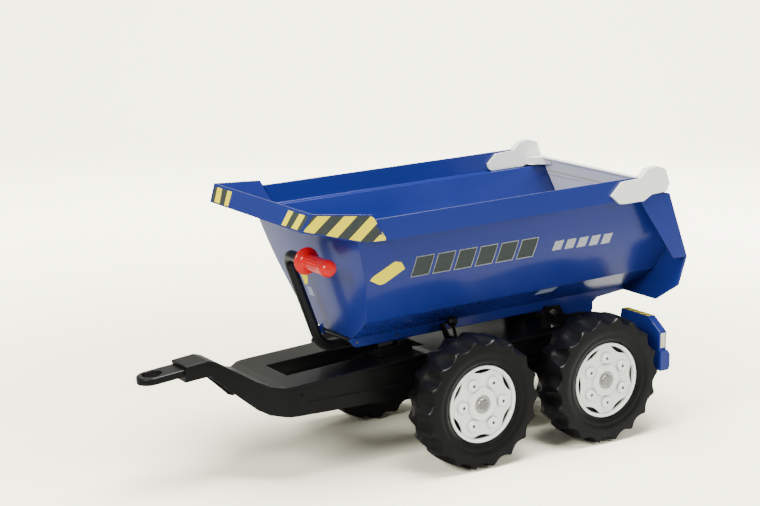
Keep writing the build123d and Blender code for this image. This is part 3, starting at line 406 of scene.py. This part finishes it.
# ---------------------------------------------------------------- tyres
LUGS = 18
SCOOP_COLUMNS = 10
LAND_COLUMNS = 4
COLUMNS_PER_LUG = SCOOP_COLUMNS + LAND_COLUMNS
HALF_LUG = COLUMNS_PER_LUG // 2
PITCH = 2 * math.pi / LUGS
SCOOP_DEPTH = 8.5 * MM
SCOOP_FADE = 2.2
LAND_AT_EDGE, LAND_GAIN = 0.10, 0.42
RIDGE_SHARE = 0.57
RIDGE_HALF = 1.6 * MM
TREAD_STEPS = 9
CROWN_RISE = 3.5 * MM
EDGE_ROUND = 1.4 * MM
INNER_ROUND = 1.6 * MM
# Radius, and distance from the tyre's outer or inner side, in millimetres.
SIDEWALL = [(71.4, -9.0), (73.5, -6.4), (77.5, -3.6), (81.5, -2.4), (84.0, -2.6), (86.5, -2.2),
            (89.5, -0.9), (94.0, -0.2), (98.0, 0.0)]
INNER_SIDEWALL = [(98.0, 1.2), (90.0, 0.4), (82.0, 2.0), (70.0, 6.0)]
HOLLOW = [(66.0, 10.0), (66.0, 52.0)]


def tread_columns(land, shift):
    """Angles and scoop fractions round the tyre; shift turns the pattern by columns."""
    columns = []
    for j in range(LUGS * COLUMNS_PER_LUG):
        lug, step = divmod(j + shift, COLUMNS_PER_LUG)
        if step < SCOOP_COLUMNS:
            across = 2 * step / SCOOP_COLUMNS - 1
            angle = (1 - land) / 2 * across
            scoop = 1 - across * across
        else:
            angle = (1 - land) / 2 + land * (step - SCOOP_COLUMNS) / LAND_COLUMNS
            scoop = 0.0
        columns.append(((lug + angle) * PITCH, scoop))
    return columns


def turned(columns, angle):
    return [(a + angle, scoop) for a, scoop in columns]


def make_tyre(node, axle, side):
    """Smooth dished sidewall, a centre ridge, and a row of tapering scoops on either side."""
    low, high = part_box(node)
    crown = (high.z - low.z) / 2
    outer, inner = (high.y, low.y) if side > 0 else (low.y, high.y)
    middle = outer + (inner - outer) * RIDGE_SHARE
    shoulder = crown - CROWN_RISE
    rows = []

    def ring(columns, radius_of, y):
        rows.append([axle + Vector((radius_of(scoop) * math.sin(a), y, radius_of(scoop) * math.cos(a)))
                     for a, scoop in columns])

    def tread(edge_y, shift, turn, order):
        """One row of scoops, from its edge to the centre ridge, or back."""
        edge = edge_y - math.copysign(EDGE_ROUND, edge_y - middle)
        ridge = middle + math.copysign(RIDGE_HALF, edge_y - middle)
        for i in order:
            t = i / TREAD_STEPS
            top = shoulder + CROWN_RISE * math.sin(math.pi / 2 * t)
            depth = SCOOP_DEPTH * (1 - t ** SCOOP_FADE)
            columns = turned(tread_columns(LAND_AT_EDGE + LAND_GAIN * t, shift), turn)
            ring(columns, lambda scoop: top - depth * scoop, edge + (ridge - edge) * t)

    outer_columns = tread_columns(LAND_AT_EDGE, 0)
    inner_columns = turned(tread_columns(LAND_AT_EDGE, HALF_LUG), -PITCH / 2)
    for radius, y in SIDEWALL:
        ring(outer_columns, lambda scoop: radius * MM, outer + side * y * MM)
    ring(outer_columns, lambda scoop: shoulder - EDGE_ROUND - SCOOP_DEPTH * scoop, outer - side * 0.2 * MM)
    tread(outer, 0, 0.0, range(TREAD_STEPS + 1))
    tread(inner, HALF_LUG, -PITCH / 2, range(TREAD_STEPS, -1, -1))
    ring(inner_columns, lambda scoop: shoulder - INNER_ROUND - SCOOP_DEPTH * scoop, inner + side * 0.4 * MM)
    for radius, y in INNER_SIDEWALL + HOLLOW:
        ring(inner_columns, lambda scoop: radius * MM, inner + side * y * MM)
    bm = bmesh.new()
    closed_ring(bm, rows)
    piece = new_object(f"{node}_tread", bm, [paint["tyre"]])
    smooth(piece, 32)
    return piece


def make_tyres():
    for joint in frame["record"]["behaviour"]["joints"]:
        body = joint["child"]
        if body.startswith("wheel_"):
            node = body.replace("wheel_", "tyre_")
            side = SIDES[body.split("_")[-1]]
            piece = make_tyre(node, Vector(joint["pos_m"]), side)
            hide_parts(node)
            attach(piece, body)


# ---------------------------------------------------------------- handle grip
GRIP_RIBS = 16
COLUMNS_PER_RIB = 6
RIB_DEPTH = 0.8 * MM
TUBE_R = 9.5 * MM
GRIP_CLEARANCE = 0.05 * MM


def make_grip():
    """Red grip: hand guard flange, barrel with lengthwise ribs and a smooth rounded end."""
    low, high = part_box("handle_grip")
    centre = Vector(((low.x + high.x) / 2, 0, (low.z + high.z) / 2))
    flange = (high.z - low.z) / 2
    start, length = low.y, high.y - low.y
    bore = TUBE_R + GRIP_CLEARANCE
    # Radius, share of the length from the guard, and whether the ring is ribbed.
    profile = [
        (bore, 0.0, 0), (flange * 0.90, 0.0, 0), (flange * 0.98, 0.010, 0), (flange, 0.030, 0),
        (flange * 0.97, 0.052, 0), (flange * 0.84, 0.068, 0), (15.6 * MM, 0.092, 0),
        (13.8 * MM, 0.125, 0), (13.3 * MM, 0.16, 0), (13.4 * MM, 0.19, 1), (13.6 * MM, 0.30, 1),
        (13.7 * MM, 0.45, 1), (13.6 * MM, 0.60, 1), (13.5 * MM, 0.66, 1), (13.4 * MM, 0.70, 0),
        (14.2 * MM, 0.74, 0), (14.9 * MM, 0.80, 0), (14.8 * MM, 0.87, 0), (13.7 * MM, 0.93, 0),
        (11.2 * MM, 0.973, 0), (7.4 * MM, 0.994, 0), (2.4 * MM, 1.0, 0), (0.15 * MM, 1.0, 0),
        (0.15 * MM, 0.93, 0), (bore, 0.90, 0),
    ]
    columns = GRIP_RIBS * COLUMNS_PER_RIB
    rows = []
    for radius, along, ribbed in profile:
        row = []
        for j in range(columns):
            angle = 2 * math.pi * j / columns
            wave = RIB_DEPTH * (0.5 - 0.5 * math.cos(GRIP_RIBS * angle)) ** 2 if ribbed else 0.0
            r = radius - wave
            row.append(centre + Vector((r * math.sin(angle), start + along * length, r * math.cos(angle))))
        rows.append(row)
    bm = bmesh.new()
    closed_ring(bm, rows)
    piece = new_object("handle_grip_ribbed", bm, [paint["red"]])
    smooth(piece, 50)
    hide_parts("handle_grip")
    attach(piece, "trough")


# ---------------------------------------------------------------- films stuck on the trough
# Outlines are in millimetres in the trough's own frame: origin on its hinge pin, +X forward
# along the floor.
TROUGH_PITCH = 1.7
FILM_LIFT = 0.12 * MM
FILM_THICK = 0.16 * MM
FILM_GRID = 7.0
RAY_START = 0.32
RAY_START_FRONT = 0.9
tip = next(joint for joint in frame["record"]["behaviour"]["joints"] if joint["name"] == "tip")
trough_frame = (Matrix.Translation(Vector(tip["pos_m"]))
                @ Matrix.Rotation(math.radians(TROUGH_PITCH), 4, "Y"))


def surface_of(node):
    """A CAD node's surface, for rays to find."""
    bm = bmesh.new()
    bm.from_mesh(frame["nodes"][node].data)
    tree = BVHTree.FromBMesh(bm)
    bm.free()
    return tree


def cut_patch(outline, step):
    """A flat face with this outline, cut by a grid so that it can follow a curve."""
    bm = bmesh.new()
    bm.faces.new([bm.verts.new((u, v, 0)) for u, v in outline])
    for axis in (0, 1):
        values = [point[axis] for point in outline]
        count = max(1, round((max(values) - min(values)) / step))
        for i in range(1, count):
            point, normal = [0, 0, 0], [0, 0, 0]
            point[axis] = min(values) + i * (max(values) - min(values)) / count
            normal[axis] = 1
            bmesh.ops.bisect_plane(bm, geom=bm.verts[:] + bm.edges[:] + bm.faces[:],
                                   plane_co=point, plane_no=normal)
    return bm


def clip(outline, point, normal):
    """The part of a convex outline on the side of a line that its normal points to."""
    kept = []
    for (ax, ay), (bx, by) in zip(outline, outline[1:] + outline[:1]):
        da = (ax - point[0]) * normal[0] + (ay - point[1]) * normal[1]
        db = (bx - point[0]) * normal[0] + (by - point[1]) * normal[1]
        if da >= 0:
            kept.append((ax, ay))
        if (da >= 0) != (db >= 0):
            f = da / (da - db)
            kept.append((ax + f * (bx - ax), ay + f * (by - ay)))
    return kept


def film(name, outlines, place, material, body="trough", lift=FILM_LIFT):
    """Thin stickers pressed onto a CAD surface. place(u, v) gives a ray to that surface."""
    bm = bmesh.new()
    for outline in outlines:
        patch = cut_patch(outline, FILM_GRID)
        under, over = {}, {}
        for vert in patch.verts:
            tree, origin, direction = place(vert.co.x, vert.co.y)
            hit, normal, _, _ = tree.ray_cast(origin, direction)
            if normal.dot(direction) > 0:
                normal = -normal
            under[vert] = bm.verts.new(hit + normal * lift)
            over[vert] = bm.verts.new(hit + normal * (lift + FILM_THICK))
        for face in patch.faces:
            bm.faces.new([under[vert] for vert in reversed(face.verts)])
            bm.faces.new([over[vert] for vert in face.verts])
        for edge in patch.edges:
            if len(edge.link_faces) == 1:
                a, b = edge.verts
                bm.faces.new((under[a], under[b], over[b], over[a]))
        patch.free()
    piece = new_object(name, bm, [material])
    smooth(piece, 40)
    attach(piece, body)


def onto_side(tree, side):
    """Rays square onto the trough's side; u runs forward, v up."""
    def place(u, v):
        origin = trough_frame @ Vector((u * MM, side * RAY_START, v * MM))
        return tree, origin, Vector((0, -side, 0))
    return place


def onto_front(tree):
    """Rays from ahead onto the trough's front; u runs to the left side, v up."""
    def place(u, v):
        origin = trough_frame @ Vector((RAY_START_FRONT, u * MM, v * MM))
        return tree, origin, trough_frame.to_3x3() @ Vector((-1, 0, 0))
    return place


def slanted(left, right, low, high, lean):
    """A parallelogram; its top is shifted by lean."""
    return [(left, low), (right, low), (right + lean, high), (left + lean, high)]


GUARD_SIDE = [(648.0, 281.8), (635.0, 307.5), (537.0, 297.2), (532.0, 294.0), (508.5, 256.0),
              (510.0, 252.5), (541.0, 252.0)]
GUARD_FIRST, GUARD_PITCH, GUARD_STRIPE, GUARD_COUNT = 650.0, 49.0, 24.0, 4
GUARD_MIDDLE_Z, GUARD_LEAN = 281.5, 0.92
FRONT_LOW, FRONT_HIGH = 282.0, 306.0
FRONT_GREY = (98.0, 162.0), (103.0, 170.0)
FRONT_BARS = [((98.0, 113.0), (103.0, 119.5)), ((131.0, 151.0), (141.0, 159.0))]


def make_guard_stripes(tree):
    """Yellow and grey hazard film round both corners of the spill guard."""
    def upright(side, low, high):
        return [(side * low[0], FRONT_LOW), (side * low[1], FRONT_LOW),
                (side * high[1], FRONT_HIGH), (side * high[0], FRONT_HIGH)]

    for name, side in SIDES.items():
        flank, front = onto_side(tree, side), onto_front(tree)
        film(f"guard_film_{name}", [GUARD_SIDE], flank, paint["grey"])
        stripes = []
        for i in range(GUARD_COUNT):
            start = GUARD_FIRST - i * GUARD_PITCH
            stripe = clip(GUARD_SIDE, (start, GUARD_MIDDLE_Z), (-1, -GUARD_LEAN))
            stripes.append(clip(stripe, (start - GUARD_STRIPE, GUARD_MIDDLE_Z), (1, GUARD_LEAN)))
        film(f"guard_stripes_{name}", stripes, flank, paint["yellow"],
             lift=FILM_LIFT + FILM_THICK)
        film(f"guard_front_film_{name}", [upright(side, *FRONT_GREY)], front, paint["grey"])
        film(f"guard_front_bars_{name}", [upright(side, *bar) for bar in FRONT_BARS], front,
             paint["yellow"], lift=FILM_LIFT + FILM_THICK)


FLASH = [(523.7, 179.1), (517.7, 186.0), (477.6, 206.9), (464.4, 203.5), (455.5, 190.3),
         (493.3, 168.6), (503.1, 167.6)]
BLOCK_COUNT, BLOCK_FRONT, BLOCK_PITCH, BLOCK_GAP = 6, 440.0, 44.5, 10.0
BLOCK_LOW, BLOCK_LOW_DROP, BLOCK_HIGH, BLOCK_HIGH_DROP = 172.6, 0.5, 207.0, 0.6
BLOCK_LEAN, BLOCK_RIM = -7, 1.5
DASH_COUNT, DASH_FRONT, DASH_PITCH, DASH_LONG = 5, 140.0, 28.0, 20.0
DASH_LOW, DASH_LOW_DROP, DASH_HIGH, DASH_HIGH_DROP = 173.0, 1.1, 191.0, 0.8
DASH_LEAN = -4
SIDE_LABEL = [(94, 78), (134, 78), (134, 90), (94, 90)]


def make_side_graphics(tree):
    """Plain graphics on the trough's sides: a yellow flash and rows of slanted blocks."""
    for name, side in SIDES.items():
        place = onto_side(tree, side)
        film(f"side_flash_{name}", [FLASH], place, paint["yellow"])
        blocks, rims = [], []
        for i in range(BLOCK_COUNT):
            front = BLOCK_FRONT - i * BLOCK_PITCH
            rear = front - BLOCK_PITCH + BLOCK_GAP
            low, high = BLOCK_LOW - i * BLOCK_LOW_DROP, BLOCK_HIGH - i * BLOCK_HIGH_DROP
            blocks.append(slanted(rear, front, low, high, BLOCK_LEAN))
            rims.append(slanted(rear - BLOCK_RIM, front + BLOCK_RIM, low - BLOCK_RIM, high + BLOCK_RIM,
                                BLOCK_LEAN))
        film(f"side_blocks_rim_{name}", rims, place, paint["silver"])
        film(f"side_blocks_{name}", blocks, place, paint["grey"],
             lift=FILM_LIFT + FILM_THICK)
        dashes = []
        for i in range(DASH_COUNT):
            front = DASH_FRONT - i * DASH_PITCH
            low, high = DASH_LOW - i * DASH_LOW_DROP, DASH_HIGH - i * DASH_HIGH_DROP
            dashes.append(slanted(front - DASH_LONG, front, low, high, DASH_LEAN))
        film(f"side_dashes_{name}", dashes, place, paint["silver"])
        film(f"side_label_{name}", [SIDE_LABEL], place, paint["pale_blue"])


FRONT_PATCH = [(-50, 195), (-58, 176), (-60, 150), (-58, 128), (-42, 135), (-34, 150), (-38, 180)]
FRONT_LABEL = [(-32, 111), (-52, 110), (-53, 127), (-34, 128)]


def make_front_graphics(tree):
    """Two plain stickers on the trough's front wall, behind the tipping handle."""
    front = onto_front(tree)
    film("front_patch", [FRONT_PATCH], front, paint["yellow"])
    film("front_label", [FRONT_LABEL], front, paint["pale_blue"])


# ---------------------------------------------------------------- films on the rear bumper
# Outlines are in millimetres: out from the middle, and back from the bumper's front edge.
BUMPER_FILM = [(96.5, 0.5), (169.5, 0.5), (169.5, 14.0), (96.5, 14.0)]
BUMPER_FIRST, BUMPER_PITCH, BUMPER_STRIPE, BUMPER_COUNT = 92.0, 17.0, 8.5, 5
BUMPER_LEAN = 0.6
BUMPER_INSET = 1 * MM
RAY_START_ABOVE = 0.1


def onto_bumper(tree, side):
    """Rays straight down onto the bumper's top; u runs outward, v backward."""
    _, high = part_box("rear_bumper")

    def place(u, v):
        origin = Vector((high.x - BUMPER_INSET - v * MM, side * u * MM, high.z + RAY_START_ABOVE))
        return tree, origin, Vector((0, 0, -1))
    return place


def make_bumper_stripes(tree):
    """Yellow and grey hazard film along the top of each end of the bumper."""
    for name, side in SIDES.items():
        place = onto_bumper(tree, side)
        stripes = []
        for i in range(BUMPER_COUNT):
            start = BUMPER_FIRST + BUMPER_PITCH * i
            stripe = clip(BUMPER_FILM, (start, 0), (1, -BUMPER_LEAN))
            stripes.append(clip(stripe, (start + BUMPER_STRIPE, 0), (-1, BUMPER_LEAN)))
        film(f"bumper_film_{name}", [BUMPER_FILM], place, paint["grey"], body="chassis")
        film(f"bumper_stripes_{name}", stripes, place, paint["yellow"],
             body="chassis", lift=FILM_LIFT + FILM_THICK)


# ---------------------------------------------------------------- the whole scene
make_camera()
make_lights()
make_floor()
paint_cad_nodes()
make_tyres()
make_grip()
shell = surface_of("trough_shell")
make_guard_stripes(shell)
make_side_graphics(shell)
make_front_graphics(shell)
make_bumper_stripes(surface_of("rear_bumper"))
